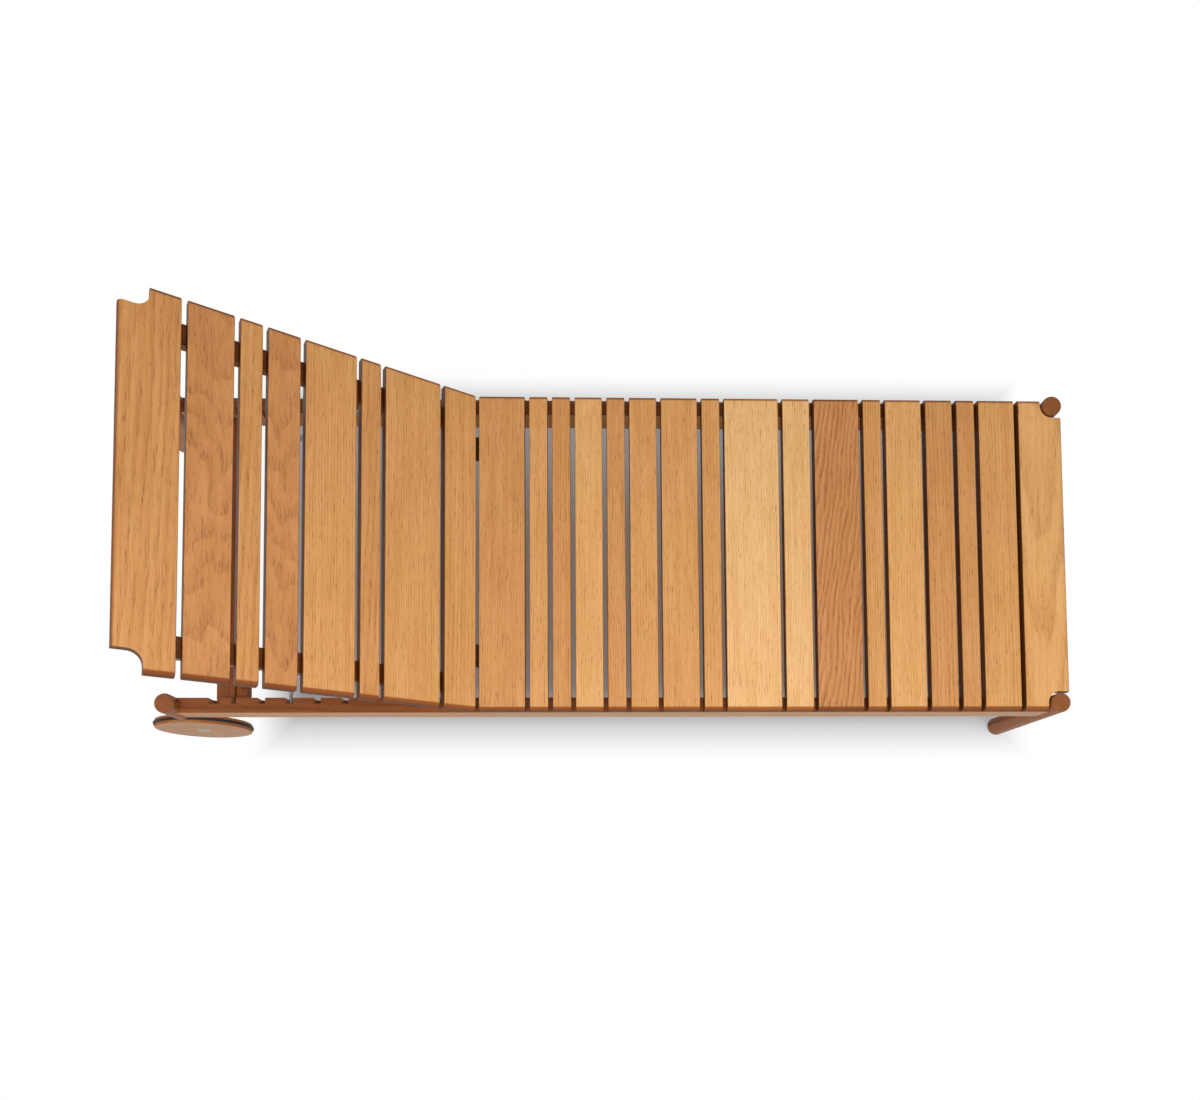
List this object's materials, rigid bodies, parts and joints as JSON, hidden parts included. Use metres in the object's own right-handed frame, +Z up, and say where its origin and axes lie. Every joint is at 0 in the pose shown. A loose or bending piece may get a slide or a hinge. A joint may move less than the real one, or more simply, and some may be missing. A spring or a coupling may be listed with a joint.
{
  "type": "slatted wooden sun lounger",
  "caption": "Slatted hardwood sun lounger with a tilting back held by a notched prop, round legs, and two wooden wheels at the head end.",
  "frame": {"origin": "on the floor, in the middle of the length and of the width", "axes": "+X to the foot end, +Y to the left side of someone lying on it, +Z up"},
  "size_m": [2.077, 0.7186, 0.66],
  "materials": {
    "slat_wood": "oiled",
    "rail_wood": "oiled",
    "leg_wood": "oiled",
    "dowel_wood": "plain",
    "wheel_wood": "oiled",
    "rubber": "matt",
    "plastic": "matt",
    "cap_metal": "satin",
    "hinge_metal": "darkened",
    "steel": "satin"
  },
  "bodies": {
    "base": {"axle_bolts": "steel", "foot_cross_rail": "rail_wood", "foot_end_slat": "slat_wood", "foot_glides": "plastic", "foot_leg_left": "leg_wood", "foot_leg_right": "leg_wood", "frame_dowels": "dowel_wood", "head_cross_rail": "rail_wood", "head_leg_left": "leg_wood", "head_leg_right": "leg_wood", "hinge_cross_rail": "rail_wood", "hinge_pins": "hinge_metal", "seat_hinge_leaves": "hinge_metal", "seat_hinge_screws": "hinge_metal", "seat_slat_01": "slat_wood", "seat_slat_02": "slat_wood", "seat_slat_03": "slat_wood", "seat_slat_04": "slat_wood", "seat_slat_05": "slat_wood", "seat_slat_06": "slat_wood", "seat_slat_07": "slat_wood", "seat_slat_08": "slat_wood", "seat_slat_09": "slat_wood", "seat_slat_10": "slat_wood", "seat_slat_11": "slat_wood", "seat_slat_12": "slat_wood", "seat_slat_13": "slat_wood", "seat_slat_14": "slat_wood", "seat_slat_15": "slat_wood", "seat_slat_16": "slat_wood", "seat_slat_screws": "steel", "side_rail_left": "rail_wood", "side_rail_right": "rail_wood"},
    "back": {"back_batten_left": "rail_wood", "back_batten_right": "rail_wood", "back_hinge_leaves": "hinge_metal", "back_hinge_screws": "hinge_metal", "back_slat_01": "slat_wood", "back_slat_02": "slat_wood", "back_slat_03": "slat_wood", "back_slat_04": "slat_wood", "back_slat_05": "slat_wood", "back_slat_06": "slat_wood", "back_slat_07": "slat_wood", "back_slat_screws": "steel", "head_end_slat": "slat_wood", "prop_pivot_bolts": "steel"},
    "prop": {"prop_arm_left": "steel", "prop_arm_right": "steel", "prop_rod": "steel"},
    "wheel_left": {"hub_cap_left": "cap_metal", "wheel_bush_left": "plastic", "wheel_inner_disc_left": "wheel_wood", "wheel_outer_disc_left": "wheel_wood", "wheel_ring_left": "rubber"},
    "wheel_right": {"hub_cap_right": "cap_metal", "wheel_bush_right": "plastic", "wheel_inner_disc_right": "wheel_wood", "wheel_outer_disc_right": "wheel_wood", "wheel_ring_right": "rubber"}
  },
  "joints": [
    {"name": "back_tilt", "type": "hinge", "parent": "base", "child": "back", "pos_m": [-0.2665, 0, 0.294], "axis": [0, 1, 0], "range_deg": [-32, 21.5]},
    {"name": "prop_swing", "type": "hinge", "parent": "back", "child": "prop", "pos_m": [-0.47533, 0, 0.39383], "axis": [0, 1, 0], "range_deg": [-45, 66]},
    {"name": "wheel_left_spin", "type": "hinge", "parent": "base", "child": "wheel_left", "pos_m": [-0.9305, 0.3495, 0.108], "axis": [0, 1, 0], "continuous": true},
    {"name": "wheel_right_spin", "type": "hinge", "parent": "base", "child": "wheel_right", "pos_m": [-0.9305, -0.3495, 0.108], "axis": [0, 1, 0], "continuous": true}
  ],
  "couplings": [
    {"joint": "prop_swing", "follows": "back_tilt", "ratio": -1.9747}
  ]
}
